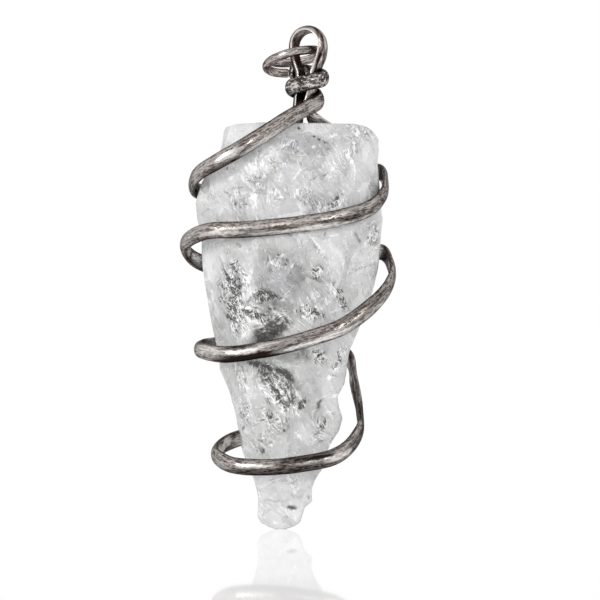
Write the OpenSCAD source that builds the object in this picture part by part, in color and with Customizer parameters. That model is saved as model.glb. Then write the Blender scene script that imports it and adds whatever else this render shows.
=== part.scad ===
// Quartz pendant: a rough, clear quartz point in a cage of half-round wire.
// One wire is wrapped round the neck and coiled down the stone. A second one is bent
// into the hanging loop, and its ends lie over the top of the stone under the coil.
// A small spiral jump ring is linked loosely on the loop.
// Millimetres, +Z up, front to -Y. The origin is where the pendant hangs:
// the inside top of the hanging loop.

/* [Crystal] */
// Height of the stone from its broad top to its tip
crystal_h = 48.8; // [47:0.1:49.5]
// Width of the stone where it is widest
crystal_w = 22.4; // [21.4:0.1:22.6]
// Depth of the stone where it is thickest
crystal_d = 14; // [12.8:0.1:14.2]
// Drop from the hanging point to the top of the stone
neck_drop = 10.9; // [10.85:0.05:11.3]

/* [Wire] */
// Width of the half-round wire across its flat face
wire_w = 2; // [1.7:0.05:2.05]
// Height of the wire's dome above its flat face
wire_t = 0.75; // [0.55:0.05:0.8]

/* [Hanging loop] */
// Inside width of the loop, from flat face to flat face
loop_w = 3.5; // [3.4:0.05:3.7]
// Turn of the loop about the vertical, with its right leg forward
loop_turn = 29; // [26:1:32]
// Backward lean of the loop's wire over its top
loop_lean = 12; // [0:1:14]

/* [Jump ring] */
// Diameter of the ring to the middle of its wire
ring_d = 6.6; // [6.3:0.1:6.7]
// Thickness of the ring's round wire
ring_wire = 1.1; // [0.8:0.05:1.15]
// Rise of the resting ring from left to right
ring_rise = 10; // [6:1:13]
// Lift of the resting ring's front edge
ring_lift = 15; // [11:1:18]

/* [Smoothness] */
// Flat strips round the stone
crystal_sides = 52; // [36:2:60]
// Flat strips over the wire's dome
dome_sides = 8; // [6:1:9]
// Sides of the jump ring's wire
ring_sides = 12; // [10:1:14]

/* [Hidden] */

quartz_colour = [0.86, 0.87, 0.87, 0.6];
wire_colour = [0.50, 0.48, 0.46];
ring_colour = [0.56, 0.53, 0.51];

// Sizes at which the tables of the stone and of its coil are drawn
drawn_h = 48.8;
drawn_w = 22.4;
drawn_d = 14;
drawn_drop = 10.9;

// Each row is a level of the stone: its drop below the top, then how far the stone
// reaches to the left, right, front and back there, and how much the level leans back.
DROP = 0;
LEFT = 1;
RIGHT = 2;
FRONT = 3;
BACK = 4;
LEAN = 5;
crystal_levels = [
    [0.9, -10.0, 7.2, -3.7, 4.4, 0.22],
    [1.3, -10.2, 7.8, -4.3, 5.1, 0.22],
    [2.2, -10.3, 8.45, -4.9, 5.6, 0.2],
    [3.4, -10.5, 8.5, -5.6, 5.9, 0.17],
    [5.2, -11.6, 8.3, -6.4, 6.0, 0.13],
    [7.4, -12.8, 8.5, -6.9, 6.2, 0.1],
    [9.7, -13.5, 8.7, -7.2, 6.4, 0.06],
    [11.6, -13.3, 8.9, -7.3, 6.5, 0.03],
    [13.9, -12.8, 8.7, -7.4, 6.6, 0],
    [17.3, -12.7, 8.4, -7.3, 6.6, 0],
    [20, -12.3, 7.8, -7.1, 6.5, 0],
    [24.1, -11.6, 6.35, -6.8, 6.3, 0],
    [27.6, -10.8, 4.9, -6.4, 6.0, 0],
    [29.6, -10.6, 4.6, -6.2, 5.8, 0],
    [31.4, -9.8, 4.3, -5.9, 5.6, 0],
    [32.8, -9.3, 3.5, -5.6, 5.4, 0],
    [34.2, -9.0, 3.7, -5.4, 5.2, 0],
    [35.5, -8.7, 4.1, -5.2, 5.1, 0],
    [36.9, -8.4, 3.7, -5.0, 4.9, 0],
    [38.7, -8.1, 2.6, -4.7, 4.6, 0],
    [40.6, -7.5, 1.9, -4.3, 4.2, 0],
    [42.5, -6.9, 1.4, -3.8, 3.8, 0],
    [44.2, -6.3, 0.5, -3.5, 3.5, 0],
    [45.4, -6.1, 0.5, -3.3, 3.3, 0],
    [46.2, -6.1, -0.4, -3.0, 3.0, 0],
    [47.1, -6.2, -0.7, -2.9, 2.9, 0],
    [48, -5.7, -1.0, -2.4, 2.4, 0],
    [48.5, -4.8, -1.8, -1.6, 1.6, 0],
    [48.8, -3.9, -2.7, -0.6, 0.6, 0]
];
level_step = 1.15;
// Squareness of the stone's cross-section and of the neck wrap: 2 is an ellipse
squareness = 2.7;

// Each row is a flat break on the stone: a point on it, then the way that it faces,
// turned from +X about the vertical and raised from the horizontal.
crystal_breaks = [
    [5.2, -6.5, -24, -62, 3],
    [-9.4, -5.1, -26, -128, 5],
    [-2, -7.0, -30, -93, -5],
    [-1, -4.3, -12.4, -86, 38],
    [-9.0, -3.6, -13.2, -138, 26],
    [7.0, -3.2, -12.9, -38, 36],
    [3.6, -3.6, -38, -47, -12],
    [-8.4, -3.2, -42, -142, -9],
    [-2.6, -5.0, -42, -98, -14],
    [-2.4, 6.1, -27, 93, 3],
    [5.4, 4.7, -24, 52, 4],
    [-9.6, 4.4, -25, 131, 3],
    [-2, 4.9, -41, 86, -11],
    [-7.6, 3.0, -45, 141, -10],
    [2.6, 3.3, -41, 40, -13],
    [-1, 4.6, -14.2, 95, 32],
    [-10.1, 2.8, -15.6, 152, 18],
    [7.0, 3.4, -15, 36, 24],
    [2.4, -7.2, -20, -74, 6],
    [-5, -6.6, -18, -108, 10],
    [-7.2, -5.4, -36, -118, -8],
    [2.8, -5.6, -34, -64, -9]
];

// Each row is a shell-shaped hollow broken out of the stone: the centre and radius of its ball.
crystal_hollows = [
    [4.4, -12.4, -16, 6.7],
    [-3.6, -14.2, -19, 8],
    [1.6, -14.2, -29.4, 8.1],
    [-9.6, -11.2, -31.5, 6.3],
    [1.8, -9.4, -43.5, 6],
    [-6.5, -9.6, -47, 6.4],
    [-3.5, 14, -21, 8.4],
    [4.5, 12, -29, 7],
    [-6, 11.6, -35, 6.6],
    [-2, 8.6, -49, 5.4],
    [12, 8.5, -20, 6.9],
    [-16.4, 7.6, -27, 6.4],
    [-3.4, -13, -56, 10.4],
    [-11.4, -7, -54.5, 8.6],
    [3.6, -5.4, -55, 6.2],
    [-8, 9.5, -55.5, 8.6],
    [3, 7.5, -56, 7.6]
];

loop_r = loop_w / 2;
across = [cos(loop_turn), -sin(loop_turn), 0];
backward = [sin(loop_turn), cos(loop_turn), 0];

// Each row is a point of a leg of the hanging loop: its place across the loop, its height.
left_leg = [
    [-1.25, -9.2],
    [-1.1, -7.8],
    [-0.9, -6.6],
    [-0.8, -5.6],
    [-0.95, -4.7],
    [-1.35, -3.7],
    [-1.66, -2.7]
];
right_leg = [
    [1.72, -2.3],
    [1.55, -3],
    [1.16, -3.9],
    [0.77, -4.8],
    [0.66, -5.7],
    [0.45, -6.6],
    [0.16, -7.6],
    [-0.1, -8.6]
];
// Each row is a point of a tail of the loop wire: x, y, z, then the way the wire's width runs,
// turned from +X about the vertical and raised from the horizontal.
left_tail = [
    [-3, 6.9, -21.5, 180, 0],
    [-3, 6.8, -18, 180, 0],
    [-2.8, 6.1, -14.9, 182, 0],
    [-2.3, 4.4, -12.7, 190, 0],
    [-1.7, 2.2, -11.7, 205, 0],
    [-1.3, 1.0, -10.5, 225, 0]
];
right_tail = [
    [0.2, 0.6, -9.8, 262, 15],
    [0.95, 1.7, -10.8, 285, 35],
    [2.3, 3.3, -11.7, 305, 32],
    [3.95, 5, -12.8, 318, 12],
    [5.2, 6, -15, 332, 0],
    [5.3, 6.2, -18, 338, 0],
    [5.2, 6.2, -21, 338, 0]
];

// The neck wrap: half its size across the legs and from front to back, its pitch, its
// height on the right, and the angles round the neck where its even turns start, step and end.
wrap_across = 1.88;
wrap_deep = 1.4;
wrap_pitch = 2.3;
wrap_height = -5.7;
wrap_start = -110;
wrap_end = 286;
wrap_step = 36;
// Each row is a point of the wrap's cut end: across the loop, backward and height.
wrap_tip = [[-2.5, 0.35, -4.75], [-1.7, 1.4, -4.85]];

// Each row is a point of the coil, on the wire's flat face: x, y and z.
coil_route = [
    [1.2, 0, -8.3],
    [0.75, -1.15, -8.7],
    [-0.3, -1.9, -9.25],
    [-1.8, -3.6, -10.05],
    [-4.6, -5.8, -11.9],
    [-8.2, -6.9, -14.2],
    [-11.2, -6.2, -15.9],
    [-12.95, -3.9, -17],
    [-13.6, -0.8, -18.1],
    [-13.4, 2.2, -19],
    [-11, 5.7, -19.4],
    [-5.5, 7.9, -19.3],
    [1.5, 8, -18.1],
    [6, 6.9, -17.2],
    [8.5, 4.4, -16.8],
    [8.85, 1.4, -17.9],
    [8.7, -2.6, -19.7],
    [6.9, -6.4, -21.4],
    [3.6, -7.8, -22.4],
    [-1.5, -8, -23.2],
    [-7.5, -7.8, -23.8],
    [-12, -6.3, -24],
    [-14.5, -2.6, -25.2],
    [-14.3, 1.4, -26.6],
    [-12.6, 4.9, -27.8],
    [-7.5, 7.1, -28.6],
    [0, 7.4, -28],
    [6, 6.6, -27.1],
    [8.6, 4.5, -26.4],
    [9.5, 1.2, -27.6],
    [9.6, -3, -30.05],
    [7.8, -6.4, -32.6],
    [4.4, -7.5, -35.2],
    [-0.6, -7.8, -37],
    [-5.8, -7.4, -38.2],
    [-10.4, -6.1, -38.7],
    [-12.8, -3.2, -38.2],
    [-12.6, 0.6, -37.9],
    [-10.9, 3.9, -37.6],
    [-6, 6.2, -37.4],
    [-0.5, 6.4, -37.9],
    [3.4, 5.2, -38.3],
    [4.6, 4.1, -39],
    [5.15, 2.6, -41.5],
    [5.8, 0.4, -45],
    [5.75, -2.1, -48.3],
    [3.5, -4.6, -50.7],
    [-1, -5.3, -51.8],
    [-5.8, -5.2, -52.2],
    [-9.4, -3.9, -51.85],
    [-10.9, -1.6, -50.8],
    [-10.4, 0.9, -49.85],
    [-8.4, 3.2, -48.85],
    [-5, 4.7, -48.4],
    [-1, 5, -48.6]
];
coil_step = 1.5;
loop_step = 0.9;

// The resting jump ring: its centre, the side offset gained in a full turn, and its two ends.
ring_centre = [-1.8, 1.7, -3.3];
ring_shift = 1.3;
ring_level = 75;
ring_start = -140;
ring_end = 255;
ring_parts = 36;

function unit(v) = v / norm(v);
function place(row) = [row[0], row[1], row[2]];
function gap(a, b) = norm(place(b) - place(a));

// Change of every column per millimetre where a smooth curve passes row i
function trend(rows, i) =
    let (n = len(rows))
    i == 0 ? (rows[1] - rows[0]) / gap(rows[0], rows[1]) :
    i == n - 1 ? (rows[i] - rows[i - 1]) / gap(rows[i - 1], rows[i]) :
    let (before = gap(rows[i - 1], rows[i]), after = gap(rows[i], rows[i + 1]))
    (rows[i] - rows[i - 1]) / before
        - (rows[i + 1] - rows[i - 1]) / (before + after)
        + (rows[i + 1] - rows[i]) / after;

// Row at share s of the way from row i to row i + 1 along the smooth curve
function between(rows, i, s) =
    let (length = gap(rows[i], rows[i + 1]))
    (2 * s ^ 3 - 3 * s ^ 2 + 1) * rows[i]
        + (s ^ 3 - 2 * s ^ 2 + s) * length * trend(rows, i)
        + (3 * s ^ 2 - 2 * s ^ 3) * rows[i + 1]
        + (s ^ 3 - s ^ 2) * length * trend(rows, i + 1);

// Rows along the smooth curve through a table, about one step apart
function smooth(rows, step) = [
    for (i = [0:len(rows) - 2])
        let (parts = ceil(gap(rows[i], rows[i + 1]) / step))
        for (k = [0:parts - 1]) between(rows, i, k / parts),
    rows[len(rows) - 1]
];

function heading(rows, i) =
    unit(place(rows[min(i + 1, len(rows) - 1)]) - place(rows[max(i - 1, 0)]));

// Rings of a profile swept along a route. A profile point is [along the width, inward].
function swept(rows, widths, profile) = [
    for (i = [0:len(rows) - 1])
        let (
            along = heading(rows, i),
            wide = unit(widths[i] - (widths[i] * along) * along),
            inward = cross(along, wide)
        )
        [for (q = profile) place(rows[i]) + q[0] * wide + q[1] * inward]
];

// Half-round profile: a flat inner face with a low dome on the outside
half_round = [
    for (k = [0:dome_sides])
        let (a = 180 * k / dome_sides)
        [wire_w / 2 * cos(a), -wire_t * sin(a)]
];

round_profile = [
    for (k = [0:ring_sides - 1])
        let (a = 360 * (k + 0.5) / ring_sides)
        ring_wire / 2 / cos(180 / ring_sides) * [cos(a), -sin(a)]
];

// Closed solid through rings of equally many points, with flat ends
module lofted(rings) {
    n = len(rings[0]);
    last = (len(rings) - 1) * n;
    sides = [
        for (i = [0:len(rings) - 2])
            for (k = [0:n - 1])
                let (a = i * n + k, b = i * n + (k + 1) % n)
                each [[a, b, b + n], [a, b + n, a + n]]
    ];
    first_end = [for (k = [n - 1:-1:0]) k];
    last_end = [for (k = [0:n - 1]) last + k];
    polyhedron([for (ring = rings) each ring], concat(sides, [first_end], [last_end]));
}

// A drawn point of the stone or its coil at the stone's real size and height
function sized(p) = [
    p[0] * crystal_w / drawn_w,
    p[1] * crystal_d / drawn_d,
    (p[2] + drawn_drop) * crystal_h / drawn_h - neck_drop
];

// Distance from the middle of a rounded rectangle to its edge in direction a
function reach(half_x, half_y, a) =
    (abs(cos(a) / half_x) ^ squareness + abs(sin(a) / half_y) ^ squareness)
        ^ (-1 / squareness);

function facing(row) = [cos(row[3]) * cos(row[4]), sin(row[3]) * cos(row[4]), sin(row[4])];

// The nearest break or hollow from a level's middle in a direction, or else the full reach
function broken(middle, full, direction) = min([
    full,
    for (row = crystal_breaks)
        let (n = facing(row), toward = n * direction)
        if (toward > 0.05) (n * (place(row) - middle)) / toward,
    for (row = crystal_hollows)
        let (
            to_ball = place(row) - middle,
            ahead = to_ball * direction,
            square = direction * direction,
            chord = ahead ^ 2 - square * (to_ball * to_ball - row[3] ^ 2)
        )
        if (ahead > 0 && chord > 0) (ahead - sqrt(chord)) / square
]);

function crystal_ring(row) =
    let (
        half_x = (row[RIGHT] - row[LEFT]) / 2,
        half_y = (row[BACK] - row[FRONT]) / 2,
        middle = [
            (row[RIGHT] + row[LEFT]) / 2,
            (row[BACK] + row[FRONT]) / 2,
            -drawn_drop - row[DROP]
        ]
    )
    [
        for (k = [0:crystal_sides - 1])
            let (
                a = 360 * k / crystal_sides,
                direction = [cos(a), sin(a), -row[LEAN] * sin(a)]
            )
            sized(middle + broken(middle, reach(half_x, half_y, a), direction) * direction)
    ];

// Levels between two rows of the table, so that no step is over level_step
function crystal_rows() = [
    for (i = [0:len(crystal_levels) - 2])
        let (
            a = crystal_levels[i],
            b = crystal_levels[i + 1],
            parts = ceil((b[DROP] - a[DROP]) / level_step)
        )
        for (k = [0:parts - 1]) a + (b - a) * k / parts,
    crystal_levels[len(crystal_levels) - 1]
];

module crystal() {
    color(quartz_colour)
        lofted([for (row = crystal_rows()) crystal_ring(row)]);
}

// How far the width of the loop's wire is raised in front at that height
function leaned(z) = loop_lean * min(1, max(0, z / 3 + 2));

// A point in the plane of the hanging loop
function in_loop(x, z) = x * across + [0, 0, z];

function neck_middle(z) = -0.08 - 0.22 * max(0, -6 - z);

// The wire's turns round both legs of the loop, from its cut end down
function neck_wrap() = [
    for (q = wrap_tip) in_loop(q[0], q[2]) + q[1] * backward,
    for (a = [wrap_start:wrap_step:wrap_end])
        let (z = wrap_height - wrap_pitch * a / 360, r = reach(wrap_across, wrap_deep, a))
        in_loop(neck_middle(z) + r * cos(a), z) - r * sin(a) * backward
];

module wire_coil() {
    rows = smooth(concat(neck_wrap(), [for (p = coil_route) sized(p)]), coil_step);
    upright = [for (row = rows) [0, 0, 1]];
    color(wire_colour)
        lofted(swept(rows, upright, half_round));
}

function leg_rows(leg) = [
    for (q = leg) concat(in_loop(q[0], q[1]), [270 - loop_turn, leaned(q[1])])
];

function arch_rows() = [
    for (a = [180:-30:0])
        concat(in_loop(loop_r * cos(a), loop_r * sin(a) - loop_r), [270 - loop_turn, loop_lean])
];

function loop_rows() =
    concat(left_tail, leg_rows(left_leg), arch_rows(), leg_rows(right_leg), right_tail);

module hanging_loop() {
    rows = smooth(loop_rows(), loop_step);
    widths = [for (row = rows) facing(row)];
    color(wire_colour)
        lofted(swept(rows, widths, half_round));
}

// The ring's own axes: left to right, back to front, and its downward normal
ring_right = [cos(ring_rise), 0, sin(ring_rise)];
ring_front = [
    -sin(ring_rise) * sin(ring_lift),
    -cos(ring_lift),
    cos(ring_rise) * sin(ring_lift)
];
ring_down = cross(ring_right, ring_front);

function ring_rows() = [
    for (k = [0:ring_parts])
        let (a = ring_start + (ring_end - ring_start) * k / ring_parts)
        ring_centre
            + ring_d / 2 * (cos(a) * ring_right + sin(a) * ring_front)
            + ring_shift * (a - ring_level) / 360 * ring_down
];

module jump_ring() {
    rows = ring_rows();
    widths = [for (row = rows) ring_down];
    color(ring_colour)
        lofted(swept(rows, widths, round_profile));
}

crystal();
wire_coil();
hanging_loop();
jump_ring();
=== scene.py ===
import math

import bpy
import numpy as np
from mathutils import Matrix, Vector


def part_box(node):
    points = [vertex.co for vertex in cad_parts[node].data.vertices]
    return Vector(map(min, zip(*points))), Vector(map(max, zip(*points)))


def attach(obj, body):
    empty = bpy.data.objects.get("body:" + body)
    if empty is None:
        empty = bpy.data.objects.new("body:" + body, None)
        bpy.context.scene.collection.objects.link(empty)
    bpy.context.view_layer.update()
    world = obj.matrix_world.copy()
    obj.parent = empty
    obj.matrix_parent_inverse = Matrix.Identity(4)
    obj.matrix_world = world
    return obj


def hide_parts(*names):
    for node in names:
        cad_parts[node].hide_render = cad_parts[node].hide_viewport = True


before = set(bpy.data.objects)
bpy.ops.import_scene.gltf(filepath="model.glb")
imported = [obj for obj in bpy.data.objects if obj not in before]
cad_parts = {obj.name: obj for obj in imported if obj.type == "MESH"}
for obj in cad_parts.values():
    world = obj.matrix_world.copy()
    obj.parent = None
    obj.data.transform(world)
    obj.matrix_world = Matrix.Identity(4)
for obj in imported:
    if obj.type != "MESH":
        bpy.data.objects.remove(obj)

# The looks of the quartz pendant: the rough stone with its breaks, chips and cracks, the
# oxidised half-round wires and the jump ring. Tables are in millimetres, as the solids are.
MM = 0.001
X, Y, Z = 0, 1, 2
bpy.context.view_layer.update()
tip_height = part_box("crystal")[0].z

# How far the stone's top lies below the hanging point
STONE_DROP = 10.9
# The stone's levels: drop below its top, reach to the left, right, front and back, lean back
DROP, LEFT, RIGHT, FRONT, BACK, LEAN = range(6)
STONE_LEVELS = np.array([
    (0.9, -10, 7.2, -3.7, 4.4, 0.22),
    (1.3, -10.2, 7.8, -4.3, 5.1, 0.22),
    (2.2, -10.3, 8.45, -4.9, 5.6, 0.2),
    (3.4, -10.5, 8.5, -5.6, 5.9, 0.17),
    (5.2, -11.6, 8.3, -6.4, 6, 0.13),
    (7.4, -12.8, 8.5, -6.9, 6.2, 0.1),
    (9.7, -13.5, 8.7, -7.2, 6.4, 0.06),
    (11.6, -13.3, 8.9, -7.3, 6.5, 0.03),
    (13.9, -12.8, 8.7, -7.4, 6.6, 0),
    (17.3, -12.7, 8.4, -7.3, 6.6, 0),
    (20, -12.3, 7.8, -7.1, 6.5, 0),
    (24.1, -11.6, 6.35, -6.8, 6.3, 0),
    (27.6, -10.8, 4.9, -6.4, 6, 0),
    (29.6, -10.6, 4.6, -6.2, 5.8, 0),
    (31.4, -9.8, 4.3, -5.9, 5.6, 0),
    (32.8, -9.3, 3.5, -5.6, 5.4, 0),
    (34.2, -9, 3.7, -5.4, 5.2, 0),
    (35.5, -8.7, 4.1, -5.2, 5.1, 0),
    (36.9, -8.4, 3.7, -5, 4.9, 0),
    (38.7, -8.1, 2.6, -4.7, 4.6, 0),
    (40.6, -7.5, 1.9, -4.3, 4.2, 0),
    (42.5, -6.9, 1.4, -3.8, 3.8, 0),
    (44.2, -6.3, 0.5, -3.5, 3.5, 0),
    (45.4, -6.1, 0.5, -3.3, 3.3, 0),
    (46.2, -6.1, -0.4, -3, 3, 0),
    (47.1, -6.2, -0.7, -2.9, 2.9, 0),
    (48, -5.7, -1, -2.4, 2.4, 0),
    (48.5, -4.8, -1.8, -1.6, 1.6, 0),
    (48.8, -3.9, -2.7, -0.6, 0.6, 0),
])
# How square the stone and the neck wrap are from above, where 2 is an ellipse
SQUARENESS = 2.7
# The stone's flat breaks: a point, then the way each faces, turned from +X and raised
STONE_BREAKS = [
    (5.2, -6.5, -24, -62, 3),
    (-9.4, -5.1, -26, -128, 5),
    (-2, -7, -30, -93, -5),
    (-1, -4.3, -12.4, -86, 38),
    (-9, -3.6, -13.2, -138, 26),
    (7, -3.2, -12.9, -38, 36),
    (3.6, -3.6, -38, -47, -12),
    (-8.4, -3.2, -42, -142, -9),
    (-2.6, -5, -42, -98, -14),
    (-2.4, 6.1, -27, 93, 3),
    (5.4, 4.7, -24, 52, 4),
    (-9.6, 4.4, -25, 131, 3),
    (-2, 4.9, -41, 86, -11),
    (-7.6, 3, -45, 141, -10),
    (2.6, 3.3, -41, 40, -13),
    (-1, 4.6, -14.2, 95, 32),
    (-10.1, 2.8, -15.6, 152, 18),
    (7, 3.4, -15, 36, 24),
    (2.4, -7.2, -20, -74, 6),
    (-5, -6.6, -18, -108, 10),
    (-7.2, -5.4, -36, -118, -8),
    (2.8, -5.6, -34, -64, -9),
]
# The stone's shell-shaped hollows: the centre and radius of each one's ball
STONE_HOLLOWS = [
    (4.4, -12.4, -16, 6.7),
    (-3.6, -14.2, -19, 8),
    (1.6, -14.2, -29.4, 8.1),
    (-9.6, -11.2, -31.5, 6.3),
    (1.8, -9.4, -43.5, 6),
    (-6.5, -9.6, -47, 6.4),
    (-3.5, 14, -21, 8.4),
    (4.5, 12, -29, 7),
    (-6, 11.6, -35, 6.6),
    (-2, 8.6, -49, 5.4),
    (12, 8.5, -20, 6.9),
    (-16.4, 7.6, -27, 6.4),
    (-3.4, -13, -56, 10.4),
    (-11.4, -7, -54.5, 8.6),
    (3.6, -5.4, -55, 6.2),
    (-8, 9.5, -55.5, 8.6),
    (3, 7.5, -56, 7.6),
]
# A break counts only for directions that face it at least this much
LEAST_FACING = 0.05
# The stone's mesh: columns round it, height of a row, rings over each end, share of the smallest
STONE_COLUMNS = 344
STONE_ROW = 0.185
END_RINGS = 14
SMALLEST_RING = 0.06
# The stone's flakes: how many, smallest and largest ball, depth and seed
STONE_CHIPS = [
    (120, 5, 16, 0.3, 11),
    (160, 0.8, 2.6, 0.09, 12),
]

# Marks on the stone's front. Each row is a brushed oval: across from the hanging point,
# drop below the stone's top, length, slant of the length, width and strength.
CRACKLED = [
    (-8.9, 21.7, 7.6, -77, 2.3, 1),
    (-8.4, 18, 3.4, -60, 1.6, 0.8),
    (-5.2, 20.8, 3.2, 10, 1.5, 0.9),
    (-6, 23.1, 3.2, -15, 1.3, 0.9),
    (-3.6, 16.8, 3, 0, 2.2, 0.35),
    (-4.6, 24.4, 3.8, 28, 1.6, 0.8),
    (1, 18, 1.6, 60, 1.3, 0.8),
    (3.8, 21.2, 3.6, -65, 1.2, 0.9),
    (0.3, 22.8, 3.2, -10, 1.2, 0.9),
    (7.5, 13.6, 2.4, 80, 1.2, 0.7),
    (6.5, 1.1, 3.8, -20, 1.8, 0.5),
    (5.3, 3.2, 4, 55, 1.4, 0.4),
    (-2.2, 3.2, 2.6, -20, 2, 0.4),
    (3.3, 9.4, 1.8, 50, 1.5, 0.8),
    (0.4, 9.2, 3.2, -40, 1.4, 0.45),
    (-8.6, 9.2, 3.2, -30, 2.6, 0.3),
    (-6.6, 7.2, 3.4, -45, 1.2, 0.35),
    (-4.2, 8.8, 3.2, -10, 0.9, 0.3),
    (-11.5, 9.5, 3.6, 80, 1.3, 0.2),
    (-3.7, 31.9, 6, -52, 2.8, 1),
    (-5.2, 29.3, 5.2, -12, 1.1, 0.9),
    (-0.9, 33.8, 1.8, 60, 1.1, 0.8),
    (1.4, 28.1, 1.6, 0, 1.5, 1),
    (3.7, 28.4, 3.4, 75, 1, 0.7),
    (-8.2, 30.6, 3.6, -70, 1.3, 0.6),
    (-5.6, 38.2, 3.2, 0, 2.5, 0.4),
    (-4.4, 35.8, 4.2, -40, 2.4, 0.6),
    (1.6, 36.4, 3.4, 60, 1.4, 0.5),
    (-2.3, 42.9, 3.8, 0, 1, 0.6),
    (-7.6, 34.6, 3.4, -75, 1.1, 0.5),
]
# Painted shade, partly the stone's own darker tone: darker facets and hollows, and the shade under the
# wires
SHADED = [
    (1.6, 9.6, 4.6, -8, 2.6, 0.6),
    (-2.4, 19, 6.5, 75, 4.4, 0.72),
    (-4.4, 18, 6.6, 80, 5, 0.6),
    (0.8, 20.2, 3.6, 0, 3.6, 0.62),
    (-0.6, 27.9, 2.4, 0, 1.4, 0.8),
    (-3.2, 28.3, 5, 0, 1, 0.5),
    (-5.4, 22.6, 4.6, -20, 3.2, 0.55),
    (-8.8, 20.4, 5, 85, 1.6, 0.7),
    (-10.6, 22, 7, 85, 2.2, 0.5),
    (-8.6, 31.4, 4.4, 80, 2, 0.3),
    (-4.2, 21.8, 6, -30, 4.6, 0.75),
    (-5.6, 6, 4, 30, 3, 0.3),
    (-3.4, 34.4, 6.4, -70, 3.4, 0.4),
    (0.2, 34, 5, 80, 2.8, 0.35),
    (-1.2, 22.2, 6, 8, 3, 0.5),
    (-9, 20.2, 6, -80, 2.2, 0.5),
    (0.6, 3, 4.8, -8, 2.6, 0.5),
    (2.8, 6.2, 6.4, 80, 4, 0.3),
    (-1.8, 3.8, 2.6, 0, 2.6, 0.35),
    (-4.5, 24.9, 5.4, 30, 2.8, 1.5),
    (-5.6, 29, 3, -14, 0.9, 0.9),
    (8, 13.4, 2.4, 80, 1.1, 0.5),
    (7.4, 8.2, 2.2, 60, 1.2, 0.4),
    (-0.6, 28, 5.4, 8, 1.6, 0.4),
    (-3.4, 30.6, 5.4, -42, 2.2, 0.9),
    (-3, 32.6, 4.4, -60, 2.6, 0.6),
    (-5, 29.8, 3.4, -20, 1.8, 0.6),
    (1.8, 36.3, 2.6, 65, 1, 0.35),
    (-1.6, 44.9, 1.6, 0, 0.5, 0.4),
]
# Painted light: it lifts the places that the wires shade, and lightens the stone's edges and tip as light
# through the stone would
LIT = [
    (-6.9, 19.8, 5, 72, 1.3, 0.8),
    (-7.3, 24.7, 2.6, 30, 2.2, 0.9),
    (6.4, 18.6, 8, 85, 3.6, 0.6),
    (7.2, 19.6, 6.4, 80, 2.8, 1.1),
    (-1.2, 17.4, 3, 0, 2.4, 0.6),
    (-6.2, 17.4, 2.4, 80, 2, 0.6),
    (3.4, 21.4, 4, 60, 2.8, 0.5),
    (-2.2, 34.8, 1.6, 0, 1.4, 0.9),
    (-7.2, 38.2, 3, 0, 2.4, 0.8),
    (0.9, 27.7, 2, 0, 1.6, 0.9),
    (-10.4, 14.7, 5.6, 0, 1.6, 1),
    (2.4, 22.6, 2.2, 0, 1.8, 0.5),
    (-2.8, 43.2, 7, 0, 1.8, 1.4),
    (-11.3, 15.2, 5, 80, 3.2, 0.6),
    (-9.4, 6.4, 5, 20, 3, 0.7),
    (-10.6, 9.4, 5, 20, 3.6, 0.7),
    (-8.4, 6.1, 10, 32, 1.8, 0.8),
    (8, 3.4, 6, 88, 1.2, 0.6),
    (-12, 16.6, 7, 88, 1.6, 0.8),
    (-6.6, 5.4, 7, 32, 1.4, 1),
    (-11, 7.6, 4, 40, 1.8, 1.1),
    (-11.4, 22.6, 6, 84, 1.6, 0.5),
    (8, 17.6, 4, 88, 1.4, 0.7),
    (-8.6, 1.4, 6, 0, 2.6, 0.8),
    (1.8, 32.4, 6, 80, 3.4, 0.5),
    (-8.4, 32, 6, -75, 2.6, 0.4),
    (-11.5, 21.7, 1.1, 80, 0.8, 1),
    (7.2, 5, 5.2, 85, 2.2, 0.4),
    (2.9, 5.6, 5, 80, 1.5, 0.4),
    (-9.4, 13.3, 3, 0, 2.6, 0.4),
    (-1, 37, 3.4, -40, 1.8, 0.6),
    (-3, 44.8, 8, 85, 7.4, 0.9),
    (3.4, 16.5, 4.4, -60, 1.8, 0.4),
    (-2.4, 10.6, 5, 10, 1.6, 0.4),
]
LILAC = [
    (-2.1, 3, 2.6, 0, 2.2, 1),
    (-2.4, 5.8, 2, 60, 1.8, 1),
    (-2.9, 18.7, 4.4, 70, 4.4, 0.8),
    (-3.8, 42.6, 4.8, 0, 2.6, 0.5),
    (2, 10.2, 2.4, 0, 2, 0.6),
    (-8.5, 18, 2.6, -70, 2.2, 0.5),
]
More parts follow.
